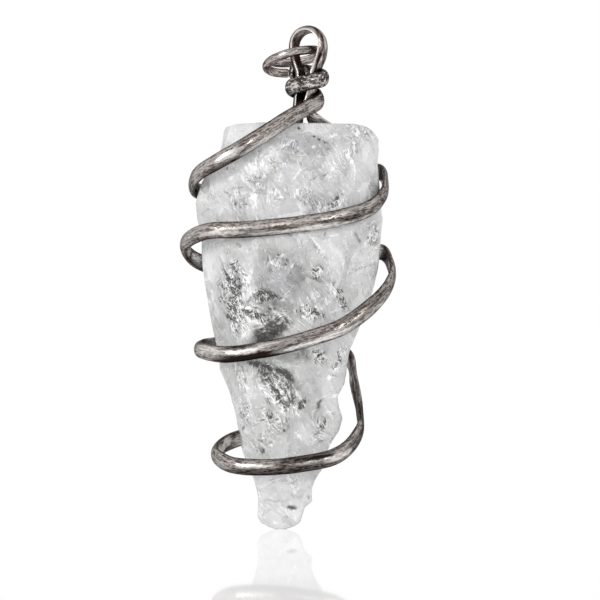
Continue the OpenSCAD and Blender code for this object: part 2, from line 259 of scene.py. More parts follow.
FLAWS = [
    (-9.7, 5.5, 0.8, 88, 0.14, 1),
    (-1.3, 0.7, 1, -8, 0.2, 1),
    (0.1, -0.05, 0.9, -12, 0.2, 1),
    (0.7, 1.7, 0.8, -16, 0.2, 1),
    (1.3, 2, 0.5, -35, 0.2, 0.9),
    (2, 2.3, 0.9, -38, 0.14, 0.7),
    (6.9, 1.4, 0.4, 45, 0.22, 0.8),
    (0.6, 6.9, 1, 28, 0.14, 0.6),
    (1.9, 6.3, 0.7, 20, 0.14, 0.6),
    (-8.3, 14.7, 0.8, -25, 0.3, 0.6),
    (-8.3, 19.8, 0.4, 10, 0.34, 1),
    (-8.9, 19.3, 1.1, -52, 0.2, 0.9),
    (-10.2, 19.8, 0.6, -60, 0.18, 0.8),
    (-7.2, 21.6, 0.4, 20, 0.28, 1),
    (-9.4, 22.1, 0.8, -70, 0.26, 1),
    (-9.1, 23.9, 1.1, -60, 0.2, 0.8),
    (-8.6, 25, 0.9, -50, 0.18, 0.8),
    (-5.7, 20.4, 1, -12, 0.45, 0.9),
    (-4.4, 21.1, 1.5, 20, 0.3, 0.9),
    (-6.8, 22.8, 2.6, -14, 0.3, 1),
    (-6.3, 23.4, 1, -8, 0.28, 0.9),
    (-4.4, 22.4, 1, -20, 0.2, 0.7),
    (-2.6, 23.6, 1.6, -52, 0.3, 0.7),
    (-4.4, 24.2, 1.2, -55, 0.4, 0.7),
    (2, 13.4, 0.5, 90, 0.16, 0.8),
    (5.9, 13.9, 1.4, -65, 0.22, 0.7),
    (6.4, 15.6, 1, -60, 0.14, 0.5),
    (5.7, 17.7, 0.4, -30, 0.3, 0.7),
    (7, 17.3, 2.2, 14, 0.13, 0.5),
    (1.2, 15.4, 2.6, -53, 0.14, 0.7),
    (0.9, 18, 0.6, 60, 0.25, 0.7),
    (3.1, 19.2, 0.9, 85, 0.25, 0.6),
    (3.9, 20.2, 0.7, -20, 0.24, 0.9),
    (4, 21.2, 0.6, -60, 0.18, 0.9),
    (4.3, 21.7, 0.6, -60, 0.18, 0.9),
    (4.1, 22.3, 0.5, -60, 0.2, 0.9),
    (-0.8, 22.9, 0.8, -30, 0.24, 0.8),
    (1.1, 22.8, 0.7, -48, 0.25, 0.6),
    (-6.4, 28.9, 1.6, -8, 0.4, 0.8),
    (-4.9, 29.3, 1.4, -28, 0.4, 0.8),
    (-3.3, 29.7, 1.2, -8, 0.3, 0.7),
    (-2.4, 30.4, 2.4, -40, 0.7, 0.6),
    (-5, 30.1, 1.2, 0, 0.5, 0.6),
    (-3.8, 32.4, 2.2, -62, 0.55, 0.7),
    (-2.2, 32.9, 2.6, -55, 0.5, 0.8),
    (-3.4, 31, 1.8, -60, 0.3, 0.8),
    (-0.8, 33.9, 1.6, 62, 0.7, 0.8),
    (1.3, 33.8, 1.6, 72, 0.35, 0.8),
    (-4.8, 35.2, 0.35, 0, 0.35, 0.6),
    (-2.9, 36.9, 0.4, 0, 0.35, 0.8),
    (-5.7, 38.1, 0.7, -50, 0.45, 0.8),
    (-4.6, 38.4, 0.4, 0, 0.3, 0.6),
    (-5.4, 39.4, 0.7, 50, 0.4, 0.7),
    (-7.8, 36.6, 0.7, 85, 0.18, 0.7),
    (1.4, 27.9, 1, 30, 0.2, 0.8),
    (-4.2, 45.4, 3, 0, 0.13, 0.35),
    (-2, 46.2, 1, -8, 0.45, 1.3),
    (0.1, 45, 0.4, -40, 0.25, 0.6),
    (-8.6, 8, 1.6, 10, 0.14, 0.5),
    (-8.2, 10, 0.9, -60, 0.2, 0.4),
    (3.3, 9.2, 0.9, 30, 0.28, 0.9),
    (3.1, 9.9, 0.7, -40, 0.2, 0.9),
    (-0.9, 9.4, 1.6, -38, 0.18, 0.6),
    (-3, 16.4, 1.2, -20, 0.4, 0.4),
]
# Painted highlights: glints on ridges and fine bright lines over the stone
PAINTED_GLINTS = [
    (0.6, 3, 0.5, 20, 0.4, 0.8),
    (-2.6, 2.7, 1.6, 25, 0.28, 0.54),
    (-1.9, 2.2, 0.7, 0, 0.2, 0.9),
    (-1.4, 6.4, 1.7, 55, 0.28, 0.54),
    (-7.4, 7.2, 2.4, -45, 0.28, 0.54),
    (-5.8, 7.6, 1.8, -40, 0.28, 0.48),
    (-9.2, 6.6, 0.8, 40, 0.4, 0.72),
    (-8, 8.6, 1.4, 15, 0.28, 0.54),
    (-4.4, 8.5, 0.5, -30, 0.3, 0.72),
    (-3.2, 9, 0.5, -30, 0.3, 0.72),
    (4.6, 3.6, 1, -55, 0.2, 0.9),
    (4.9, 4.5, 1.2, -55, 0.2, 0.9),
    (3, 1.6, 1.2, 25, 0.2, 0.8),
    (5.8, 1.4, 0.6, 0, 0.5, 0.8),
    (-3.6, 16.7, 2.2, 60, 0.34, 0.7),
    (-3.6, 17.2, 2.2, -20, 0.32, 0.7),
    (-7.4, 19.2, 4.4, 68, 0.5, 0.6),
    (-6.2, 22, 2, -20, 0.3, 0.72),
    (-6.8, 23.8, 2.2, -30, 0.3, 0.8),
    (-5.3, 24.2, 3.2, 30, 0.32, 0.8),
    (-3.2, 23.5, 4.2, -46, 0.34, 0.9),
    (-2.5, 23.5, 3, -52, 0.3, 0.7),
    (-7.2, 22.3, 2.6, -14, 0.34, 1),
    (1, 14.6, 2.8, -53, 0.28, 0.6),
    (1.6, 16, 2.4, -53, 0.28, 0.6),
    (2.7, 19.8, 2.2, 80, 0.28, 0.54),
    (0.5, 23.2, 1.2, -20, 0.35, 0.8),
    (3.2, 22.6, 1.2, 15, 0.25, 0.9),
    (-3.6, 31.8, 4.4, -58, 0.34, 1),
    (-2.4, 32.4, 5.4, -57, 0.36, 1),
    (-1.2, 32.6, 3, -60, 0.3, 0.7),
    (-1.6, 34.4, 1.6, -60, 0.3, 0.8),
    (-5, 32.6, 3.4, -48, 0.34, 0.9),
    (2.4, 30.6, 0.6, 60, 0.5, 0.8),
    (1.5, 28.4, 0.6, 0, 0.4, 0.8),
    (-1.2, 37.6, 1.3, -45, 0.28, 0.6),
    (-2.2, 42.8, 0.8, -45, 0.3, 0.72),
    (-1.2, 43.9, 0.5, 80, 0.25, 0.9),
    (-4, 48, 0.4, 0, 0.3, 0.72),
    (8, 14, 0.8, 50, 0.3, 0.72),
]
# Each kind of mark: its table, how far its edges stray and how soft they are
STONE_MARKS = {
    "crackled": (CRACKLED, 0.5, 0.9),
    "shaded": (SHADED, 0.4, 0.8),
    "lit": (LIT, 0.5, 0.9),
    "lilac": (LILAC, 0.5, 0.9),
    "flaws": (FLAWS, 0.16, 0.9),
    "sparks": (PAINTED_GLINTS, 0.14, 0.9),
}
# The stone's low relief: rolling lumps, ridges in its crackle, sunken flaws, raised places under the
# painted glints
ROLLING_HEIGHT = 0.04
RIDGE_HEIGHT = 0.22
FLAW_DEPTH = 0.14
GLINT_HEIGHT = 0.04

# The half-round wire, with its softened edges, the angle its dome starts at and its dents
WIRE_WIDTH = 2
WIRE_HEIGHT = 0.75
WIRE_EDGE = 0.1
WIRE_EDGE_DROP = 0.03
DOME_START = 7
WIRE_DENTS = 0.03
# A wire's cut end is a little smaller than the wire
CUT_END = 0.84
COIL_STEP = 0.3
LOOP_STEP = 0.2

# The hanging loop: inside width, degrees that it is turned about the upright and leans back
LOOP_WIDTH = 3.5
LOOP_TURN_DEGREES = 29
LOOP_LEAN = 12
LOOP_TURN = math.radians(LOOP_TURN_DEGREES)
ACROSS = np.array([math.cos(LOOP_TURN), -math.sin(LOOP_TURN), 0])
BACKWARD = np.array([math.sin(LOOP_TURN), math.cos(LOOP_TURN), 0])
LEG_HEADING = 270 - LOOP_TURN_DEGREES

# The hanging loop's legs: place across the loop, height
LEFT_LEG = [
    (-1.25, -9.2),
    (-1.1, -7.8),
    (-0.9, -6.6),
    (-0.8, -5.6),
    (-0.95, -4.7),
    (-1.35, -3.7),
    (-1.66, -2.7),
]
RIGHT_LEG = [
    (1.72, -2.3),
    (1.55, -3),
    (1.16, -3.9),
    (0.77, -4.8),
    (0.66, -5.7),
    (0.45, -6.6),
    (0.16, -7.6),
    (-0.1, -8.6),
]
# The loop wire's tails: x, y, z, then the way the wire's width runs, turned from +X and raised
LEFT_TAIL = [
    (-3, 6.9, -21.5, 180, 0),
    (-3, 6.8, -18, 180, 0),
    (-2.8, 6.1, -14.9, 182, 0),
    (-2.3, 4.4, -12.7, 190, 0),
    (-1.7, 2.2, -11.7, 205, 0),
    (-1.3, 1, -10.5, 225, 0),
]
RIGHT_TAIL = [
    (0.2, 0.6, -9.8, 262, 15),
    (0.95, 1.7, -10.8, 285, 35),
    (2.3, 3.3, -11.7, 305, 32),
    (3.95, 5, -12.8, 318, 12),
    (5.2, 6, -15, 332, 0),
    (5.3, 6.2, -18, 338, 0),
    (5.2, 6.2, -21, 338, 0),
]

# The coil's wrap round the neck: half widths, drop in a turn, height at 0 degrees, angles
WRAP_ACROSS = 1.88
WRAP_DEEP = 1.4
WRAP_PITCH = 2.3
WRAP_HEIGHT = -5.7
WRAP_ANGLES = range(-110, 287, 36)
# How far the wrap lies to the left, and further for each millimetre under the height
WRAP_LEFT = 0.08
WRAP_SLIDE = 0.22
WRAP_SLIDE_HEIGHT = -6
# The wrap's cut end: across the loop, backward, height
WRAP_TIP = [(-2.5, 0.35, -4.75), (-1.7, 1.4, -4.85)]
# The coil's route on the wire's flat face
COIL_ROUTE = [
    (1.2, 0, -8.3),
    (0.75, -1.15, -8.7),
    (-0.3, -1.9, -9.25),
    (-1.8, -3.6, -10.05),
    (-4.6, -5.8, -11.9),
    (-8.2, -6.9, -14.2),
    (-11.2, -6.2, -15.9),
    (-12.95, -3.9, -17),
    (-13.6, -0.8, -18.1),
    (-13.4, 2.2, -19),
    (-11, 5.7, -19.4),
    (-5.5, 7.9, -19.3),
    (1.5, 8, -18.1),
    (6, 6.9, -17.2),
    (8.5, 4.4, -16.8),
    (8.85, 1.4, -17.9),
    (8.7, -2.6, -19.7),
    (6.9, -6.4, -21.4),
    (3.6, -7.8, -22.4),
    (-1.5, -8, -23.2),
    (-7.5, -7.8, -23.8),
    (-12, -6.3, -24),
    (-14.5, -2.6, -25.2),
    (-14.3, 1.4, -26.6),
    (-12.6, 4.9, -27.8),
    (-7.5, 7.1, -28.6),
    (0, 7.4, -28),
    (6, 6.6, -27.1),
    (8.6, 4.5, -26.4),
    (9.5, 1.2, -27.6),
    (9.6, -3, -30.05),
    (7.8, -6.4, -32.6),
    (4.4, -7.5, -35.2),
    (-0.6, -7.8, -37),
    (-5.8, -7.4, -38.2),
    (-10.4, -6.1, -38.7),
    (-12.8, -3.2, -38.2),
    (-12.6, 0.6, -37.9),
    (-10.9, 3.9, -37.6),
    (-6, 6.2, -37.4),
    (-0.5, 6.4, -37.9),
    (3.4, 5.2, -38.3),
    (4.6, 4.1, -39),
    (5.15, 2.6, -41.5),
    (5.8, 0.4, -45),
    (5.75, -2.1, -48.3),
    (3.5, -4.6, -50.7),
    (-1, -5.3, -51.8),
    (-5.8, -5.2, -52.2),
    (-9.4, -3.9, -51.85),
    (-10.9, -1.6, -50.8),
    (-10.4, 0.9, -49.85),
    (-8.4, 3.2, -48.85),
    (-5, 4.7, -48.4),
    (-1, 5, -48.6),
]

# Wear on the coil's face, with painted glints among the bright wear and painted shade among the
# tarnish. Each row is a brushed oval: along the wire from its cut end at the neck, across its width
# (up is positive), length, width and strength.
COIL_WEAR_AND_GLINTS = [
    (9.3, 0, 1, 0.9, 1),
    (7.4, -0.4, 1.2, 0.5, 1),
    (20.6, -0.6, 2.6, 0.4, 0.6),
    (27, -0.68, 5.4, 0.5, 1),
    (23.6, -0.7, 5, 0.4, 0.8),
    (31.2, 0, 3.2, 0.7, 1),
    (24.4, -0.5, 3, 0.3, 0.5),
    (34.6, 0.2, 3.6, 0.9, 0.4),
    (87.2, -0.55, 4.6, 0.4, 1),
    (92.2, -0.68, 8, 0.34, 0.5),
    (87, -0.82, 9, 0.32, 1),
    (98.5, -0.3, 4.6, 0.5, 1),
    (104, 0.2, 4, 1.5, 0.5),
    (37, 0.2, 4, 1.4, 0.35),
    (92, 0.45, 12, 0.6, 0.15),
    (102.8, 0.2, 3, 1, 0.3),
    (67.5, 0, 4, 1.6, 0.6),
    (135.5, 0, 4, 1.6, 0.6),
    (83.5, 0.65, 7, 0.4, 0.3),
    (109.5, 0, 1.2, 0.8, 0.9),
    (112.2, -0.1, 2.6, 1.4, 0.8),
    (148.5, -0.5, 3.4, 0.4, 0.5),
    (156.4, -0.5, 5.6, 0.6, 0.85),
    (159.2, -0.6, 7.4, 0.5, 1),
    (163.2, -0.1, 2.6, 0.3, 0.5),
    (164.2, 0.5, 3.4, 0.5, 0.5),
    (167.1, 0.08, 3.6, 0.55, 1),
    (179.4, 0.2, 4, 1.4, 0.7),
    (171.6, 0.3, 3.8, 1.2, 0.8),
    (214.1, -0.1, 3.2, 0.65, 1),
    (217.4, 0, 3, 0.4, 0.3),
    (224.2, 0.18, 3.8, 0.52, 1),
    (228.2, -0.3, 2, 0.7, 0.4),
    (231.6, 0, 3.4, 1.6, 0.5),
    (232.4, -0.3, 1.6, 1.2, 1),
    (234.6, 0.2, 1.6, 1.2, 1),
    (236.6, -0.2, 1.8, 1.2, 1),
]
# Tarnish and painted shade: dark lower edges and dark bands on the wire
COIL_TARNISH_AND_SHADE = [
    (8.3, 0.3, 1.4, 1.3, 1),
    (6, 0.3, 1.6, 0.9, 0.8),
    (10.4, -0.2, 0.8, 1.6, 0.9),
    (6.8, -0.9, 2.4, 0.4, 0.9),
    (16.4, 0.5, 1.6, 0.5, 0.8),
    (29.4, -0.3, 1.6, 1, 0.7),
    (29, -0.9, 9, 0.3, 0.5),
    (32.4, -0.8, 6, 0.6, 0.9),
    (28.6, 0.25, 2.6, 0.9, 0.6),
    (95.5, -0.8, 5, 0.5, 0.9),
    (101.4, -0.8, 5, 0.4, 0.6),
    (92.6, -0.2, 9, 0.5, 0.7),
    (99, -0.95, 6, 0.3, 0.8),
    (78.8, 0.2, 4, 1, 0.3),
    (107.6, 0.1, 2, 1.6, 0.8),
    (110.6, 0.3, 1, 0.9, 0.8),
    (144, 0, 6, 1.2, 0.3),
    (158.4, 0.1, 6.6, 0.7, 0.6),
    (165.6, -0.68, 10, 1.3, 1.3),
    (153, 0, 5.4, 0.9, 0.5),
    (151.5, 0.5, 9, 0.8, 0.6),
    (162, -0.4, 5, 0.8, 0.8),
    (84.4, -0.3, 6, 0.9, 0.9),
    (167.6, 0.75, 3, 0.5, 0.9),
    (163, 0.15, 2.4, 0.4, 0.7),
    (205.6, 0, 6, 1.2, 0.9),
    (221.5, -0.62, 15, 1.15, 1),
    (218.2, 0.2, 7, 1.7, 0.95),
    (216.4, 0.3, 4, 0.9, 1.3),
    (208.6, 0, 6, 1.6, 0.8),
    (207, 0.5, 4, 1.2, 1),
    (212, -0.1, 2.6, 1.2, 0.8),
    (212, -0.8, 6, 0.5, 0.6),
]

# The same for the loop's wire, along it from the end of its left tail
# Bright wear and painted glints
LOOP_WEAR_AND_GLINTS = [
    (25.4, 0.3, 3, 0.8, 0.25),
    (25.8, 1.05, 7, 0.3, 1),
    (30.2, 0.56, 2.2, 0.1, 0.9),
    (39.6, 0.6, 5, 1.4, 0.6),
    (28, -0.3, 3, 0.6, 0.5),
    (31, 1, 4, 0.3, 0.8),
    (35, 0.5, 1.6, 0.6, 0.8),
]
# Tarnish and painted shade, on the inner faces and the lower parts of the legs
LOOP_TARNISH_AND_SHADE = [
    (16.2, 0, 3.6, 3, 1),
    (20.4, 0, 3.6, 3, 0.85),
    (22.6, 0, 3.8, 3, 0.9),
    (29.6, -0.1, 1.6, 1.7, 0.8),
    (30.3, 0.74, 3.2, 0.5, 1.3),
    (26.6, 0.62, 5.6, 0.56, 0.95),
    (31.4, -0.1, 2.2, 1.7, 1),
    (34, -0.3, 2.2, 1.4, 0.9),
    (29, 0.5, 1.2, 0.5, 0.5),
]

# The jump ring: sizes, middle, then its rise to the right and its lift to the front
RING_DIAMETER = 6.6
RING_WIRE = 1.1
RING_CENTRE = np.array([-1.8, 1.7, -3.3])
RING_RISE = math.radians(10)
RING_LIFT = math.radians(15)
# The side offset that it gains in a turn, the angle without any, and its two ends
RING_SHIFT = 1.3
RING_LEVEL = 75
RING_START = -140
RING_END = 255
RING_STEPS = 150

# The stone's splinters run this many degrees down to the right. A place is taken times these
# factors along, through and across a splinter or a stroke, so that a small one makes it long.
SPLINTER_SLANT = 58
SPLINTER_STRETCH = (0.2, 0.85, 1.2)
STROKE_STRETCH = (0.24, 1, 1.3)
STROKE_WIDTH = 0.07
# Fine strokes on the stone, painted highlight lines with painted shade beside them: the angle in radians,
# the scale and how few there are
STROKES = [
    (math.radians(-SPLINTER_SLANT), 2, 0.58),
    (0.5, 1.7, 0.6),
    (-1.45, 2.2, 0.6),
    (-0.7, 3.6, 0.68),
]
# The stone's tone, from 0 for dark to 1 for white, and what its marks add or take
BODY_TONE = 0.61
LIT_LIFT = 0.2
SHADE_DROP = 0.4
PAINTED_GLINT_LIFT = 0.3
FLAW_DROP = 0.6
QUARTZ_DARK = (0.06, 0.058, 0.054, 1)
LILAC_TINT = (0.97, 0.95, 1.02, 1)
QUARTZ_IOR = 1.54

# Patterns on the wires, brushed, scratched, pitted and stained: the factor along the wire, where
# a small one draws them out, then scale, detail and distortion
WIRE_PATTERNS = [
    (0.1, 6, 2, 0.1),
    (0.2, 9, 2, 0.3),
    (0.6, 4, 2, 0.3),
    (0.35, 1.1, 3, 0.6),
]
# The wires' colours
SILVER = (0.262, 0.224, 0.206, 1)
RING_SILVER = (0.37, 0.288, 0.288, 1)
ROSY_TINT = (1.06, 0.94, 0.96, 1)
# Polished metal, also the colour of the painted highlights on the streak and the rim
POLISH_AND_HIGHLIGHT = (0.82, 0.77, 0.73, 1)
# Bright wear, also the colour of the painted glints
WORN_AND_GLINT_BRIGHT = (0.94, 0.91, 0.875, 1)
BLACKENED = (0.042, 0.029, 0.025, 1)
RED_BROWN = (0.05, 0.014, 0.012, 1)

# The picture, in metres: the camera's distance, the width that it sees, its middle across and up
CAMERA_DISTANCE = 1.2
PICTURE_WIDTH = 0.072
PICTURE_MIDDLE = (-0.001, -0.0322)
# The height that the soft lights point at, half the table's width and the share that it mirrors
LIGHT_AIM = -0.035
HALF_TABLE = 4
TABLE_SHINE = 0.29
# The pool of light on the table round the pendant, in millimetres: rising, then fading
LIGHT_POOL = (8, 16, 60, 160)

# Large odd numbers that scatter the grain's cells, then shifts and numbers that stir them
CELL_SCATTER = (73856093, 19349663, 83492791, 2654435761)
CELL_STIRS = ((13, 1274126177), (16, 2246822519))
# A Mix node's colour sockets, by number because their names repeat
MIX_FACTOR, MIX_A, MIX_B, MIX_COLOUR = 0, 6, 7, 2


def lattice(cells, seed):
    """A fixed random number from 0 to 1 for each whole-numbered cell."""
    across, back, up, start = CELL_SCATTER
    h = cells[..., X] * across ^ cells[..., Y] * back ^ cells[..., Z] * up ^ seed * start
    for shift, factor in CELL_STIRS:
        h = (h ^ (h >> shift)) * factor & 0xFFFFFFFF
    return (h & 0xFFFFFF) / 0xFFFFFF


def grain(points, size, seed):
    """Smooth lumps of about that size over the points, from -1 to 1."""
    p = points / size + 100
    cells = np.floor(p).astype(np.int64)
    f = p - cells
    f = f * f * (3 - 2 * f)
    total = 0
    for corner in np.ndindex(2, 2, 2):
        weight = np.prod(np.where(corner, f, 1 - f), axis=-1)
        total = total + weight * lattice(cells + np.array(corner), seed)
    return 2 * total - 1


def grains(points, size, seed, octaves=3):
    """Lumps with finer lumps on them."""
    return sum(grain(points, size / 2 ** k, seed + k) / 2 ** k for k in range(octaves))


def unit(v):
    return v / np.linalg.norm(v, axis=-1, keepdims=True)


def build_piece(name, points, faces, marks=None):
    """A mesh piece in metres from points in millimetres, with its marks as attributes."""
    mesh = bpy.data.meshes.new(name)
    mesh.from_pydata((points * MM).tolist(), [], faces)
    mesh.update()
    mesh.shade_smooth()
    for mark, values in (marks or {}).items():
        kind, field = ("FLOAT", "value") if values.ndim == 1 else ("FLOAT_VECTOR", "vector")
        data = mesh.attributes.new(mark, kind, "POINT").data
        data.foreach_set(field, values.astype(np.float32).ravel())
    piece = bpy.data.objects.new(name, mesh)
    bpy.context.scene.collection.objects.link(piece)
    return piece


def loft_faces(rings, columns):
    """Faces through rings of equally many points, closed with two flat ends."""
    faces = []
    for ring in range(rings - 1):
        here = ring * columns
        onward = here + columns
        for k in range(columns):
            beside = (k + 1) % columns
            faces.append((here + k, here + beside, onward + beside, onward + k))
    last = (rings - 1) * columns
    return faces + [tuple(range(columns - 1, -1, -1)), tuple(range(last, last + columns))]


def trends(rows):
    """Change of every column per millimetre where the smooth curve passes each row."""
    gaps = np.linalg.norm(np.diff(rows[:, :3], axis=0), axis=1)
    pace = np.diff(rows, axis=0) / gaps[:, None]
    whole = (rows[2:] - rows[:-2]) / (gaps[:-1] + gaps[1:])[:, None]
    return gaps, np.vstack([pace[:1], pace[:-1] - whole + pace[1:], pace[-1:]])


def smooth(rows, step):
    """Rows along the smooth curve through a table, about one step apart."""
    rows = np.array(rows, float)
    gaps, slope = trends(rows)
    out = []
    for i, gap in enumerate(gaps):
        parts = math.ceil(gap / step)
        s = (np.arange(parts) / parts)[:, None]
        out.append(
            (2 * s ** 3 - 3 * s ** 2 + 1) * rows[i]
            + (s ** 3 - 2 * s ** 2 + s) * gap * slope[i]
            + (3 * s ** 2 - 2 * s ** 3) * rows[i + 1]
            + (s ** 3 - s ** 2) * gap * slope[i + 1]
        )
    return np.vstack(out + [rows[-1:]])


def stone_break_line(middle, full, direction, breaks, balls):
    """How far the stone reaches in each direction before a break, a hollow or its full size."""
    reach = full
    for x, y, z, turn, rise in breaks:
        turn, rise = math.radians(turn), math.radians(rise)
        face = np.array([math.cos(turn) * math.cos(rise), math.sin(turn) * math.cos(rise), math.sin(rise)])
        toward = direction @ face
        ahead = (np.array([x, y, z]) - middle) @ face
        broken = np.minimum(reach, ahead[:, None] / np.maximum(toward, LEAST_FACING))
        reach = np.where(toward > LEAST_FACING, broken, reach)
    square = np.sum(direction ** 2, axis=-1)
    for x, y, z, radius in balls:
        to_ball = np.array([x, y, z]) - middle
        ahead = np.einsum("lc,lac->la", to_ball, direction)
        chord = ahead ** 2 - square * (np.sum(to_ball ** 2, axis=-1) - radius ** 2)[:, None]
        near = (ahead - np.sqrt(np.maximum(chord, 0))) / square
        reach = np.where((ahead > 0) & (chord > 0), np.minimum(reach, near), reach)
    return reach


def stone_grid():
    """The stone's levels as middles, directions and full reaches."""
    drops = np.arange(STONE_LEVELS[0, DROP], STONE_LEVELS[-1, DROP], STONE_ROW)
    drops = np.append(drops, STONE_LEVELS[-1, DROP])
    left, right, front, back, lean = (
        np.interp(drops, STONE_LEVELS[:, DROP], STONE_LEVELS[:, column]) for column in range(LEFT, LEAN + 1)
    )
    middle = np.stack([(left + right) / 2, (front + back) / 2, -STONE_DROP - drops], axis=-1)
    a = 2 * np.pi * np.arange(STONE_COLUMNS) / STONE_COLUMNS
    cos, sin = np.cos(a), np.sin(a)
    direction = np.stack(np.broadcast_arrays(cos, sin, -lean[:, None] * sin), axis=-1)
    half_x, half_y = ((right - left) / 2)[:, None], ((back - front) / 2)[:, None]
    full = (np.abs(cos / half_x) ** SQUARENESS + np.abs(sin / half_y) ** SQUARENESS) ** (-1 / SQUARENESS)
    return middle, direction, full


def stone_chips(points, normals, count, small, large, deep, seed):
    """Shallow flakes over the surface, each as a ball that dips a little way into it."""
    rng = np.random.default_rng(seed)
    chips = []
    for _ in range(count):
        i, k = rng.integers(len(points)), rng.integers(STONE_COLUMNS)
        radius = rng.uniform(small, large)
        depth = deep * rng.uniform(0.3, 1)
        chips.append((*(points[i, k] + normals[i, k] * (radius - depth)), radius))
    return chips


def stone_faces(rings):
    return [face[::-1] for face in loft_faces(rings, STONE_COLUMNS)]


def stone_points():
    """Rings of points from the middle of the top over the stone to the middle of the tip."""
    middle, direction, full = stone_grid()
    reach = stone_break_line(middle, full, direction, STONE_BREAKS, STONE_HOLLOWS)
    points = middle[:, None] + reach[..., None] * direction
    normals = point_normals(points.reshape(-1, 3), stone_faces(len(points))).reshape(points.shape)
    chips = []
    for count, small, large, deep, seed in STONE_CHIPS:
        chips += stone_chips(points, normals, count, small, large, deep, seed)
    reach = stone_break_line(middle, reach, direction, [], chips)
    points = middle[:, None] + reach[..., None] * direction
    shares = np.linspace(SMALLEST_RING, 1, END_RINGS, endpoint=False)[:, None, None]
    top = middle[0] + (points[0] - middle[0]) * shares
    tip = middle[-1] + (points[-1] - middle[-1]) * shares[::-1]
    return np.concatenate([top, points, tip])


def ovals(first, second, rows, soft):
    """Strength of slanted ovals over two measures of the surface."""
    strength = np.zeros(len(first))
    for x, y, length, slant, width, weight in rows:
        cos, sin = math.cos(math.radians(slant)), math.sin(math.radians(slant))
        u = ((first - x) * cos - (second - y) * sin) / (length / 2)
        v = ((first - x) * sin + (second - y) * cos) / (width / 2)
        oval = np.clip((1 - np.sqrt(u * u + v * v)) / soft + 0.5, 0, 1)
        strength = np.maximum(strength, weight * oval * oval * (3 - 2 * oval))
    return strength


def marked(points, rows, stray, soft):
    """Strength of the ovals over the stone, with ragged edges, the back the other way round."""
    drop = -points[:, Z] - STONE_DROP
    middles = (STONE_LEVELS[:, LEFT] + STONE_LEVELS[:, RIGHT]) / 2
    centre = np.interp(drop, STONE_LEVELS[:, DROP], middles)
    across = np.where(points[:, Y] > 0, 2 * centre - points[:, X], points[:, X])
    raggedness = 1.2 * stray + 0.2
    across = across + stray * grains(points, raggedness, 51, 2)
    drop = drop + stray * grains(points, raggedness, 61, 2)
    return ovals(across, drop, rows, soft)


def point_normals(points, faces):
    mesh = bpy.data.meshes.new("stone_probe")
    mesh.from_pydata(points.tolist(), [], faces)
    normals = np.empty(len(points) * 3, np.float32)
    mesh.vertex_normals.foreach_get("vector", normals)
    bpy.data.meshes.remove(mesh)
    return normals.reshape(-1, 3)


def crystal_stone():
    rings = stone_points()
    points = rings.reshape(-1, 3)
    faces = stone_faces(len(rings))
    normals = point_normals(points, faces)
    marks = {name: marked(points, *kind) for name, kind in STONE_MARKS.items()}
    creases = 1 - np.abs(grains(points * (1, 1, 0.6), 0.6, 9, 2))
    lift = ROLLING_HEIGHT * grains(points, 1.4, 5) + marks["crackled"] * RIDGE_HEIGHT * (creases - 0.8)
    lift = lift - FLAW_DEPTH * marks["flaws"] + GLINT_HEIGHT * marks["sparks"]
    return build_piece("quartz_stone", points + normals * lift[:, None], faces, marks)


def swept(rows, widths, profile):
    """Rings of a profile, given as (along the width, inward), swept along a route."""
    route = rows[:, :3]
    along = unit(np.vstack([route[1:2] - route[:1], route[2:] - route[:-2], route[-1:] - route[-2:-1]]))
    wide = unit(widths - np.sum(widths * along, axis=1, keepdims=True) * along)
    inward = np.cross(along, wide)
    rings = route[:, None] + profile[None, :, :1] * wide[:, None] + profile[None, :, 1:] * inward[:, None]
    run = np.concatenate([[0], np.cumsum(np.linalg.norm(np.diff(route, axis=0), axis=1))])
    place = np.empty_like(rings)
    place[..., X] = run[:, None]
    place[..., 1:] = profile
    return rings, place


def half_round_profile(dome_points=22, flat_points=7):
    """Flat inner face with softened edges and a low dome outside."""
    half = WIRE_WIDTH / 2
    a = np.radians(np.linspace(DOME_START, 180 - DOME_START, dome_points))
    outside = np.stack([half * np.cos(a), -WIRE_HEIGHT * np.sin(a)], axis=-1)
    flat = np.linspace(-half + WIRE_EDGE, half - WIRE_EDGE, flat_points)
    inside = np.stack([flat, np.zeros(flat_points)], axis=-1)
    left, right = [[-half, -WIRE_EDGE_DROP]], [[half, -WIRE_EDGE_DROP]]
    return np.vstack([outside, left, inside, right])


def round_profile(radius, sides=24):
    a = 2 * np.pi * (np.arange(sides) + 0.5) / sides
    return radius * np.stack([np.cos(a), -np.sin(a)], axis=-1)


def worn(place, rows, seed):
    """Wear along a wire, with ragged edges: bright wear with painted glints, tarnish with painted shade."""
    level = [(run, across, length, 0, width, strength) for run, across, length, width, strength in rows]
    stray = 0.1 * grains(place * (0.5, 1, 1), 0.4, seed, 2)
    return ovals(place[:, X] + 3 * stray, place[:, Y] + stray, level, 0.9)


def wire_piece(name, rows, widths, profile, seed, polish=(), tarnish=()):
    """A dented wire along a route, with its places and its wear, painted glints and painted shade as marks.
    """
    rings, place = swept(rows, widths, profile)
    middle = rings.mean(axis=1, keepdims=True)
    flat_place = place.reshape(-1, 3)
    knocks = grains(flat_place * (1, 1.4, 1.4), 1.8, seed, 2).reshape(place.shape[:2])
    rings = rings + unit(rings - middle) * (WIRE_DENTS * (knocks - 0.4))[..., None]
    ends = np.ones((len(rings), 1, 1))
    ends[[0, -1]] = CUT_END
    rings = middle + (rings - middle) * ends
    faces = loft_faces(len(rings), len(profile))
    marks = {
        "wire_place": flat_place,
        "polish": worn(flat_place, polish, seed + 1),
        "tarnish": worn(flat_place, tarnish, seed + 2),
    }
    return build_piece(name, rings.reshape(-1, 3), faces, marks)


